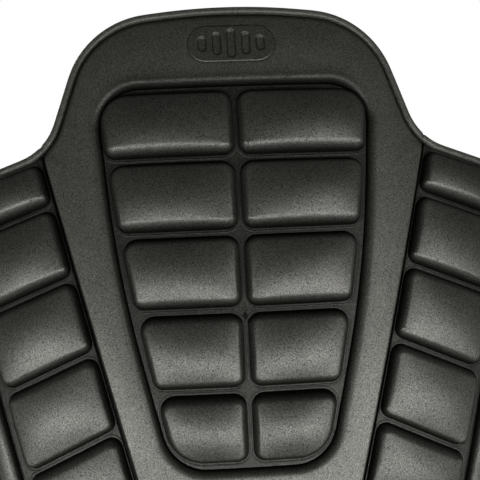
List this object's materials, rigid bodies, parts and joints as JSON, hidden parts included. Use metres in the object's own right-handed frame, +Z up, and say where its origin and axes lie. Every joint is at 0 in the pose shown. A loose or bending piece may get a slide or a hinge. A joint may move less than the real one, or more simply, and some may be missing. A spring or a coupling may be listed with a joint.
{
  "type": "back protector",
  "caption": "Wearable back protector insert for motorcycling: curved segmented foam shell with raised pads, flexing side wings and a bending lumbar panel.",
  "frame": {"origin": "deepest point of the concave inner face, on the centre line at mid height", "axes": "+Z up to the neck, +Y out of the inner face towards the wearer, -Y out of the padded outer face, +X to the right as seen from behind the wearer"},
  "size_m": [0.321, 0.0621, 0.4695],
  "materials": {
    "pad_fabric": "matte fine knit laminated on moulded foam pads",
    "shell_fabric": "matte fine knit laminated on moulded foam shell",
    "badge_fabric": "heat pressed fabric, smoother than the shell",
    "binding_tape": "matte knitted edge tape with a fine diagonal rib",
    "liner_mesh": "matte open spacer mesh",
    "core_foam": "matte closed-cell foam",
    "hook_tape": "stiff nylon hook tape"
  },
  "bodies": {
    "spine": {"collar_badge": "badge_fabric", "collar_frame": "shell_fabric", "middle_hook_patch": "hook_tape", "spine_comfort_liner": "liner_mesh", "spine_edge_binding": "binding_tape", "spine_face_sheet": "shell_fabric", "spine_impact_core": "core_foam", "spine_pad_left_1": "pad_fabric", "spine_pad_left_2": "pad_fabric", "spine_pad_left_3": "pad_fabric", "spine_pad_left_4": "pad_fabric", "spine_pad_left_5": "pad_fabric", "spine_pad_right_1": "pad_fabric", "spine_pad_right_2": "pad_fabric", "spine_pad_right_3": "pad_fabric", "spine_pad_right_4": "pad_fabric", "spine_pad_right_5": "pad_fabric", "upper_hook_patch": "hook_tape"},
    "right_wing": {"right_wing_bolster": "pad_fabric", "right_wing_comfort_liner": "liner_mesh", "right_wing_edge_binding": "binding_tape", "right_wing_face_sheet": "shell_fabric", "right_wing_impact_core": "core_foam", "right_wing_pad_1": "pad_fabric", "right_wing_pad_2": "pad_fabric", "right_wing_pad_3": "pad_fabric", "right_wing_pad_4": "pad_fabric", "right_wing_pad_5": "pad_fabric"},
    "left_wing": {"left_wing_bolster": "pad_fabric", "left_wing_comfort_liner": "liner_mesh", "left_wing_edge_binding": "binding_tape", "left_wing_face_sheet": "shell_fabric", "left_wing_impact_core": "core_foam", "left_wing_pad_1": "pad_fabric", "left_wing_pad_2": "pad_fabric", "left_wing_pad_3": "pad_fabric", "left_wing_pad_4": "pad_fabric", "left_wing_pad_5": "pad_fabric"},
    "lumbar": {"lower_hook_patch": "hook_tape", "lumbar_comfort_liner": "liner_mesh", "lumbar_edge_binding": "binding_tape", "lumbar_face_sheet": "shell_fabric", "lumbar_frame": "shell_fabric", "lumbar_impact_core": "core_foam", "lumbar_pad_left_1": "pad_fabric", "lumbar_pad_left_2": "pad_fabric", "lumbar_pad_left_3": "pad_fabric", "lumbar_pad_left_4": "pad_fabric", "lumbar_pad_right_1": "pad_fabric", "lumbar_pad_right_2": "pad_fabric", "lumbar_pad_right_3": "pad_fabric", "lumbar_pad_right_4": "pad_fabric", "lumbar_side_pad_left_1": "pad_fabric", "lumbar_side_pad_left_2": "pad_fabric", "lumbar_side_pad_left_3": "pad_fabric", "lumbar_side_pad_right_1": "pad_fabric", "lumbar_side_pad_right_2": "pad_fabric", "lumbar_side_pad_right_3": "pad_fabric"}
  },
  "joints": [
    {"name": "right_wing_flex", "type": "hinge", "parent": "spine", "child": "right_wing", "pos_m": [0.07596, 0.00462, 0.083], "axis": [0.2464, 0.1306, 0.9603], "range_deg": [-8, 18], "stiffness_Nm_per_rad": 2},
    {"name": "left_wing_flex", "type": "hinge", "parent": "spine", "child": "left_wing", "pos_m": [-0.07596, 0.00462, 0.083], "axis": [0.2464, -0.1306, -0.9603], "range_deg": [-8, 18], "stiffness_Nm_per_rad": 2},
    {"name": "lumbar_flex", "type": "hinge", "parent": "spine", "child": "lumbar", "pos_m": [0, -0.004, -0.009], "axis": [1, 0, 0], "range_deg": [-10, 10], "stiffness_Nm_per_rad": 4}
  ]
}
